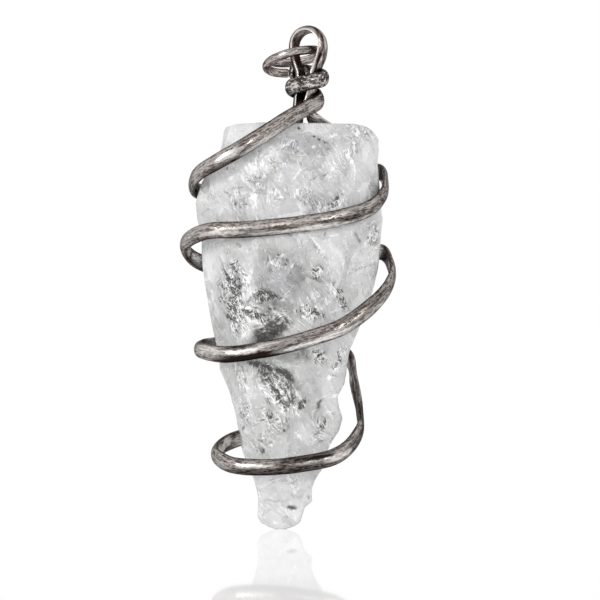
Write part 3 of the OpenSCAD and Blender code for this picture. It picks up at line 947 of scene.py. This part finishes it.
def coil_cage():
    wrap = [ACROSS * x + BACKWARD * y + (0, 0, z) for x, y, z in WRAP_TIP]
    for degrees in WRAP_ANGLES:
        a = math.radians(degrees)
        z = WRAP_HEIGHT - WRAP_PITCH * degrees / 360
        lean = -WRAP_LEFT - WRAP_SLIDE * max(0, WRAP_SLIDE_HEIGHT - z)
        cos, sin = math.cos(a), math.sin(a)
        r = (abs(cos / WRAP_ACROSS) ** SQUARENESS + abs(sin / WRAP_DEEP) ** SQUARENESS) ** (-1 / SQUARENESS)
        wrap.append(ACROSS * (lean + r * cos) - BACKWARD * r * sin + (0, 0, z))
    rows = smooth(wrap + [np.array(p, float) for p in COIL_ROUTE], COIL_STEP)
    widths = np.tile([0.0, 0.0, 1.0], (len(rows), 1))
    return wire_piece("cage_coil", rows, widths, half_round_profile(), 21, COIL_WEAR_AND_GLINTS, COIL_TARNISH_AND_SHADE)


def in_loop(x, z):
    """A point in the plane of the hanging loop, with the way that the wire's width runs."""
    place = ACROSS * x
    return (place[X], place[Y], z, LEG_HEADING, LOOP_LEAN * min(1, max(0, z / 3 + 2)))


def top_loop():
    half = LOOP_WIDTH / 2
    arch = [in_loop(half * math.cos(a), half * (math.sin(a) - 1)) for a in np.radians(range(180, -1, -30))]
    left, right = ([in_loop(x, z) for x, z in leg] for leg in (LEFT_LEG, RIGHT_LEG))
    rows = smooth(LEFT_TAIL + left + arch + right + RIGHT_TAIL, LOOP_STEP)
    turn, rise = np.radians(rows[:, 3]), np.radians(rows[:, 4])
    widths = np.stack([np.cos(turn) * np.cos(rise), np.sin(turn) * np.cos(rise), np.sin(rise)], axis=-1)
    return wire_piece("loop_wire", rows, widths, half_round_profile(), 31, LOOP_WEAR_AND_GLINTS, LOOP_TARNISH_AND_SHADE)


def link_ring():
    right = np.array([math.cos(RING_RISE), 0, math.sin(RING_RISE)])
    front = np.array([
        -math.sin(RING_RISE) * math.sin(RING_LIFT),
        -math.cos(RING_LIFT),
        math.cos(RING_RISE) * math.sin(RING_LIFT),
    ])
    down = np.cross(right, front)
    degrees = np.linspace(RING_START, RING_END, RING_STEPS)
    a = np.radians(degrees)[:, None]
    rows = RING_CENTRE + RING_DIAMETER / 2 * (np.cos(a) * right + np.sin(a) * front)
    rows = rows + RING_SHIFT * (degrees[:, None] - RING_LEVEL) / 360 * down
    widths = np.tile(down, (len(rows), 1))
    return wire_piece("link_ring", rows, widths, round_profile(RING_WIRE / 2), 41)


class Value:
    """A shader socket, so that sums on it can be written as plain expressions."""

    def __init__(self, recipe, socket):
        self.recipe = recipe
        self.socket = socket

    def sum_of(self, operation, *values):
        settings = {"operation": operation}
        return self.recipe.node("ShaderNodeMath", settings, dict(enumerate(values)))

    def __add__(self, other):
        return self.sum_of("ADD", self, other)

    def __radd__(self, other):
        return self.sum_of("ADD", other, self)

    def __sub__(self, other):
        return self.sum_of("SUBTRACT", self, other)

    def __rsub__(self, other):
        return self.sum_of("SUBTRACT", other, self)

    def __mul__(self, other):
        return self.sum_of("MULTIPLY", self, other)

    def __rmul__(self, other):
        return self.sum_of("MULTIPLY", other, self)

    def beside(self, output):
        """Another output of the same node."""
        return Value(self.recipe, self.socket.node.outputs[output])

    def limited(self):
        return self.recipe.node("ShaderNodeClamp", inputs={0: self})

    def above(self, low, high):
        """0 below low, 1 above high, smooth between."""
        settings = {"interpolation_type": "SMOOTHSTEP"}
        inputs = {"Value": self, "From Min": low, "From Max": high}
        return self.recipe.node("ShaderNodeMapRange", settings, inputs)


class Recipe:
    """A finish: its nodes are added one by one, settings first, then values and links."""

    def __init__(self, name, tree=None):
        self.material = None
        if tree is None:
            self.material = bpy.data.materials.new(name)
            self.material.use_nodes = True
            tree = self.material.node_tree
        tree.nodes.clear()
        self.tree = tree

    def node(self, kind, settings=None, inputs=None, output=0):
        node = self.tree.nodes.new(kind)
        for name, setting in (settings or {}).items():
            if name == "stops":
                self.set_stops(node.color_ramp, setting)
            else:
                setattr(node, name, setting)
        for name, value in (inputs or {}).items():
            socket = node.inputs[name]
            if isinstance(value, Value):
                self.tree.links.new(value.socket, socket)
            else:
                socket.default_value = value
        return Value(self, node.outputs[output]) if node.outputs else None

    @staticmethod
    def set_stops(ramp, stops):
        while len(ramp.elements) < len(stops):
            ramp.elements.new(1)
        for element, (place, colour) in zip(ramp.elements, stops):
            element.position = place
            element.color = (*colour, 1)

    def mark(self, name, output="Fac"):
        return self.node("ShaderNodeAttribute", {"attribute_name": name}, output=output)

    def moved(self, vector, by):
        return self.node("ShaderNodeVectorMath", {"operation": "ADD"}, {0: vector, 1: by})

    def strayed(self, vector, scale, far):
        """The place, bent aside by smooth noise."""
        inputs = {"Vector": vector, "Scale": scale, "Detail": 1}
        aside = self.node("ShaderNodeTexNoise", inputs=inputs, output="Color")
        return self.moved(vector, self.stretched(aside, (far, far, far)))

    def turned(self, vector, angle):
        """The place, turned in the plane that the photo shows."""
        return self.node("ShaderNodeMapping", inputs={"Vector": vector, "Rotation": (0, angle, 0)})

    def ridges(self, vector, scale, detail):
        """Sharp ridges with finer ridges on them."""
        settings = {"noise_type": "RIDGED_MULTIFRACTAL", "normalize": True}
        inputs = {"Vector": vector, "Scale": scale, "Detail": detail, "Roughness": 0.55}
        return self.node("ShaderNodeTexNoise", settings, inputs)

    def broken_faces(self, vector, scale):
        """A painted shade for each broken face, from dark on one side of it to bright on the other, as if
        it were tilted to the light.
        """
        inputs = {"Vector": vector, "Scale": scale}
        chance = self.node("ShaderNodeTexVoronoi", inputs=inputs, output="Color")
        minus, dot = {"operation": "SUBTRACT"}, {"operation": "DOT_PRODUCT"}
        away = self.node("ShaderNodeVectorMath", minus, {0: vector, 1: chance.beside("Position")})
        tilt = self.node("ShaderNodeVectorMath", minus, {0: chance, 1: (0.5, 0.5, 0.5)})
        tone = self.node("ShaderNodeVectorMath", dot, {0: away, 1: tilt}, output="Value")
        return tone * (2 * scale)

    def strokes(self, vector, scale, thin, few, more):
        """Short fine lines, each lit on one side and dark on the other."""
        lines = self.lumps(vector, scale, 1, 0.3)
        elsewhere = self.moved(vector, (7, 3, 5))
        present = (self.lumps(elsewhere, scale * 0.9, 2) + more).above(few, few + 0.05)
        # A line runs where the noise passes its middle value
        middle = 0.5
        light = lines.above(middle - thin, middle) * lines.above(middle + thin, middle)
        dark = lines.above(middle, middle + thin) * lines.above(middle + 2 * thin, middle + thin)
        return light * present, dark * present

    def tinted(self, colour, tint):
        settings = {"data_type": "RGBA", "blend_type": "MULTIPLY"}
        inputs = {MIX_FACTOR: 1.0, MIX_A: colour, MIX_B: tint}
        return self.node("ShaderNodeMix", settings, inputs, MIX_COLOUR)

    def place(self):
        """The point on the piece in millimetres."""
        spot = self.node("ShaderNodeTexCoord", output="Object")
        return self.stretched(spot, (1 / MM, 1 / MM, 1 / MM))

    def stretched(self, vector, by):
        return self.node("ShaderNodeVectorMath", {"operation": "MULTIPLY"}, {0: vector, 1: by})

    def lumps(self, vector, scale, detail, distortion=0.0):
        inputs = {"Vector": vector, "Scale": scale, "Detail": detail, "Distortion": distortion}
        return self.node("ShaderNodeTexNoise", inputs=inputs)

    def mixed(self, factor, a, b):
        inputs = {MIX_FACTOR: factor, MIX_A: a, MIX_B: b}
        return self.node("ShaderNodeMix", {"data_type": "RGBA"}, inputs, MIX_COLOUR)

    def bump(self, height, distance, strength, normal=None):
        inputs = {"Height": height, "Distance": distance * MM, "Strength": strength}
        if normal is not None:
            inputs["Normal"] = normal
        return self.node("ShaderNodeBump", inputs=inputs)

    def finish(self, shader):
        self.node("ShaderNodeOutputMaterial", inputs={"Surface": shader})
        return self.material


def grey(level):
    return (level, level, level, 1)


def quartz_finish():
    """Clear broken quartz: painted shading of planes, flakes, shards and fine splinters, then its marks,
    painted light, shade and glints among them.
    """
    r = Recipe("rough_quartz")
    spot = r.place()
    crackled, shaded, lit, lilac = (r.mark(name) for name in ("crackled", "shaded", "lit", "lilac"))
    flaws, sparks = r.mark("flaws"), r.mark("sparks")
    bent = r.strayed(r.strayed(spot, 0.3, 2.4), 1.6, 0.35)
    splinters = r.stretched(r.turned(bent, math.radians(-SPLINTER_SLANT)), SPLINTER_STRETCH)
    ragged = r.strayed(splinters, 5, 0.1)
    crumple = r.ridges(splinters, 1.8, 5)
    # Painted shade and light on the crackle's folds: the ridges less a copy of them moved a little, as an
    # emboss
    fold = (crumple - r.ridges(r.moved(splinters, (0.02, 0.05, 0.09)), 1.8, 5)) * 9
    crazed = (r.ridges(splinters, 6, 3) - r.ridges(r.moved(splinters, (0.01, 0.02, 0.03)), 6, 3)) * 8
    # Painted shading of broken faces, from wide planes to fine splints
    planes = r.broken_faces(r.strayed(spot, 0.9, 0.8), 0.3)
    flakes = r.broken_faces(ragged, 0.9)
    shards = r.broken_faces(ragged, 2.4)
    splints = r.broken_faces(r.strayed(splinters, 9, 0.05), 6)
    fine = r.lumps(splinters, 5, 4, 0.2)
    grain = r.lumps(spot, 4, 3, 0.5)
    clouds = r.lumps(spot, 0.28, 3, 0.8)
    patches = r.lumps(r.strayed(spot, 0.5, 1), 0.45, 3, 0.6)
    # Crisp where the quartz is cracked through, and elsewhere nearly clear
    broken = (crackled * 0.9 + patches.above(0.52, 0.8) * 0.35).limited()
    crisp = 0.03 + 0.97 * broken
    tone = BODY_TONE + (clouds - 0.5) * 0.2 + planes * 0.14 + flakes * (0.06 + 0.38 * crisp)
    rough = shards * 0.7 + splints * 0.6 + (fold + crazed) * 0.3 + (fine - 0.5) * 0.5
    tone = tone + (rough.above(-0.36, 0.36) - 0.6) * 0.6 * crisp + splints * 0.03 + (grain - 0.5) * 0.05
    tone = tone + lit * LIT_LIFT - shaded * SHADE_DROP
    tone = tone - (tone - 0.7).above(0, 0.5) * 0.16
    more = crackled * 0.14 + sparks * 0.2
    # Fine strokes: painted highlight lines, each with a painted shade line beside it
    bright, dark = 0, 0
    for angle, scale, few in STROKES:
        way = r.stretched(r.turned(bent, angle), STROKE_STRETCH)
        lit_side, dark_side = r.strokes(way, scale, STROKE_WIDTH, few, more)
        bright, dark = bright + lit_side, dark + dark_side
    tone = tone + bright.limited() * (0.24 + 0.3 * crisp) - dark.limited() * (0.14 + 0.5 * crisp)
    # The painted glints lift the tone and the flaws darken it
    tone = tone + sparks * PAINTED_GLINT_LIFT - flaws * FLAW_DROP
    colour = r.mixed(tone, QUARTZ_DARK, grey(1))
    colour = r.mixed(lilac * 0.5, colour, r.tinted(colour, LILAC_TINT))
    relief = r.bump(crumple, 0.4, 0.5)
    stone = r.node("ShaderNodeBsdfPrincipled", inputs={
        "Base Color": colour,
        "Roughness": 0.1 + 0.2 * clouds,
        "IOR": QUARTZ_IOR,
        "Normal": relief,
        # The painted glints also glow a little: a painted highlight, not a lamp
        "Emission Color": r.mixed(sparks, grey(0), grey(1)),
        "Emission Strength": 0.12,
    })
    return r.finish(stone)


def wire_finish(name, base, patina, highlight_band, shine_share, rim=None, neck=None):
    """Brushed silver with a painted highlight streak in a band across it, and a painted highlight on the
    rim or a dark neck with painted glints.
    """
    r = Recipe(name)
    place = r.mark("wire_place", "Vector")
    polish, tarnish = r.mark("polish"), r.mark("tarnish")
    along = r.node("ShaderNodeSeparateXYZ", inputs={0: place}, output=X)
    across, outward = along.beside(Y), along.beside(Z)
    brushed, scratched, pits, stains = (
        r.lumps(r.stretched(place, (drawn_out, 1, 1)), scale, detail, distortion)
        for drawn_out, scale, detail, distortion in WIRE_PATTERNS
    )
    worn = r.lumps(r.stretched(place, (1, 0.3, 0.3)), 0.2, 2)
    inside = outward.above(-0.14, -0.02)
    # The painted highlight streak wanders across the wire, and comes and goes along it
    wander = across + (stains - 0.5) * 0.4
    shining = 0.2 + 0.8 * worn.above(0.4, 0.6)
    highlight_streak = wander.above(*highlight_band[:2]) * wander.above(*highlight_band[2:]) * shining
    # Painted shade along both edges of the wire
    edge = across + (scratched - 0.5) * 0.2
    edges = (edge.above(-0.86, -0.98) + edge.above(0.86, 0.98)).limited()
    grit = (brushed + scratched + (pits - 0.5) * 0.6 - 1).above(-0.13, 0.15)
    spots = (pits - 0.5) * 1.2 + (brushed - 0.5) * 0.8 + (stains - 0.5) * 0.9
    dull = spots.above(0, 0.4)
    rosy = stains.above(0.4, 0.65)
    # Layers of colour, from the metal outwards
    colour = r.mixed(rosy * 0.6, base, r.tinted(base, ROSY_TINT))
    colour = r.mixed(grit * 0.72, r.mixed(0.5, colour, POLISH_AND_HIGHLIGHT), patina)
    colour = r.mixed(highlight_streak * (1 - 0.6 * grit) * shine_share, colour, POLISH_AND_HIGHLIGHT)
    colour = r.mixed(dull * 0.6, colour, patina)
    colour = r.mixed(edges * 0.7, colour, patina)
    # Tarnish and painted shade from the marks
    colour = r.mixed(tarnish * (0.8 + 0.2 * grit), colour, r.tinted(patina, grey(0.5)))
    colour = r.mixed(inside * stains.above(0.42, 0.58) * 0.8, colour, patina)
    # Bright wear and painted glints from the marks
    colour = r.mixed(polish * (1 - 0.5 * grit), colour, WORN_AND_GLINT_BRIGHT)
    if neck:
        wrapped = along.above(*neck)
        black = r.lumps(place, 3.4, 2, 0.4).above(0.5, 0.56)
        glint = r.lumps(r.moved(place, (9, 4, 6)), 3, 2, 0.4).above(0.6, 0.66)
        colour = r.mixed(wrapped * black * 0.85, colour, patina)
        colour = r.mixed(wrapped * glint, colour, WORN_AND_GLINT_BRIGHT)
    if rim:
        # A painted highlight along the front rim of the loop
        shine = across.above(*rim) * outward.above(-0.32, -0.12)
        colour = r.mixed(shine * 0.9, colour, POLISH_AND_HIGHLIGHT)
    relief = r.bump(scratched, 0.02, 0.4, r.bump(brushed, 0.02, 0.4, r.bump(pits, 0.04, 0.3)))
    wire = r.node("ShaderNodeBsdfPrincipled", inputs={
        "Base Color": colour,
        "Metallic": 1.0,
        "Specular Tint": grey(0.4),
        "Roughness": 0.27 + 0.2 * dull,
        "Normal": relief,
    })
    return r.finish(wire)


def floor_finish():
    """A white table, seen as plain paper with a faint mirror image of the pendant."""
    r = Recipe("white_table")
    flat = r.stretched(r.place(), (1, 1, 0))
    away = r.node("ShaderNodeVectorMath", {"operation": "LENGTH"}, {0: flat}, "Value")
    pool = away.above(*LIGHT_POOL[:2]) * (1 - 0.6 * away.above(*LIGHT_POOL[2:]))
    seen = r.node("ShaderNodeLightPath", output="Is Camera Ray")
    # The table lights the pendant most from the pool round it
    lamp = r.mixed(pool, grey(0.65), grey(0.9))
    glow = r.node("ShaderNodeEmission", inputs={"Color": r.mixed(seen, lamp, grey(1)), "Strength": 1.0})
    shine = r.node("ShaderNodeBsdfGlossy", inputs={"Color": grey(1), "Roughness": 0.02})
    both = r.node("ShaderNodeMixShader", inputs={0: seen * TABLE_SHINE, 1: glow, 2: shine})
    return r.finish(both)


def studio_floor():
    half = HALF_TABLE
    corners = np.array([(-half, -half), (half, -half), (half, half), (-half, half)]) / MM
    points = np.column_stack([corners, np.full(4, tip_height / MM)])
    floor = build_piece("studio_floor", points, [(0, 1, 2, 3)])
    floor.data.materials.append(floor_finish())
    return floor


def studio_camera():
    data = bpy.data.cameras.new("photo_camera")
    data.sensor_width = 36
    data.lens = data.sensor_width * CAMERA_DISTANCE / PICTURE_WIDTH
    camera = bpy.data.objects.new("photo_camera", data)
    across, height = PICTURE_MIDDLE
    camera.location = (across, -CAMERA_DISTANCE, height)
    camera.rotation_euler = (math.radians(90), 0, 0)
    bpy.context.scene.collection.objects.link(camera)
    bpy.context.scene.camera = camera


def softbox(name, place, size, power, unlit):
    """A soft light that shines on all but one thing, which doesn't mirror it either."""
    data = bpy.data.lights.new(name, "AREA")
    data.shape = "RECTANGLE"
    data.size, data.size_y = size
    data.energy = power
    light = bpy.data.objects.new(name, data)
    light.location = place
    light.visible_camera = False
    receivers = bpy.data.collections.new(name + "_receivers")
    receivers.objects.link(unlit)
    receivers.collection_objects[0].light_linking.link_state = "EXCLUDE"
    light.light_linking.receiver_collection = receivers
    toward = Vector((0, 0, LIGHT_AIM)) - Vector(place)
    light.rotation_euler = toward.to_track_quat("-Z", "Y").to_euler()
    bpy.context.scene.collection.objects.link(light)


def studio_world():
    world = bpy.data.worlds.new("white_studio")
    world.use_nodes = True
    bpy.context.scene.world = world
    r = Recipe("white_studio", world.node_tree)
    toward = r.node("ShaderNodeTexCoord", output="Generated")
    height = r.node("ShaderNodeSeparateXYZ", inputs={0: toward}, output=Z)
    ceiling = r.node("ShaderNodeValToRGB", {"stops": [
        (0.0, (0.4, 0.4, 0.4)),
        (0.5, (0.6, 0.6, 0.6)),
        (0.6, (0.75, 0.75, 0.75)),
        (0.8, (0.9, 0.9, 0.91)),
        (1.0, (0.7, 0.7, 0.7)),
    ]}, {"Fac": 0.5 + 0.5 * height})
    # White at the horizon, and soft greys above and below it
    level = height.above(-0.03, -0.01) * height.above(0.09, 0.06)
    room = r.mixed(level, ceiling, grey(1))
    seen = r.node("ShaderNodeLightPath", output="Is Camera Ray")
    light = r.node("ShaderNodeBackground", inputs={"Color": room, "Strength": 1.0})
    paper = r.node("ShaderNodeBackground", inputs={"Color": grey(1), "Strength": 1.0})
    both = r.node("ShaderNodeMixShader", inputs={0: seen, 1: light, 2: paper})
    r.node("ShaderNodeOutputWorld", inputs={"Surface": both})


def dress(piece, finish, node, body):
    piece.data.materials.append(finish)
    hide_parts(node)
    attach(piece, body)


studio_camera()
studio_world()
floor = studio_floor()
softbox("left_box", place=(-0.75, -0.95, 0.3), size=(0.22, 0.4), power=3.2, unlit=floor)
softbox("right_box", place=(0.3, -1.2, 0.3), size=(0.2, 0.4), power=2.8, unlit=floor)
dress(crystal_stone(), quartz_finish(), "crystal", "pendant")
# Across the wire, the painted highlight streak rises from the first value to the second, and fades from
# the fourth to the third. The dark neck ends between the two runs along the wire, in millimetres.
cage_silver = wire_finish(
    "cage_silver", SILVER, BLACKENED, highlight_band=(-0.8, -0.4, 0.1, -0.2), shine_share=0.35, neck=(17, 13)
)
loop_silver = wire_finish(
    "loop_silver", SILVER, RED_BROWN, highlight_band=(-0.2, 0.1, 0.9, 0.7), shine_share=0.5, rim=(0.8, 0.92)
)
ring_silver = wire_finish(
    "ring_silver", RING_SILVER, BLACKENED, highlight_band=(-0.5, -0.2, 0.4, 0.2), shine_share=0.8
)
dress(coil_cage(), cage_silver, "wire_coil", "pendant")
dress(top_loop(), loop_silver, "hanging_loop", "pendant")
dress(link_ring(), ring_silver, "jump_ring", "ring")
bpy.context.scene.view_settings.view_transform = "Standard"
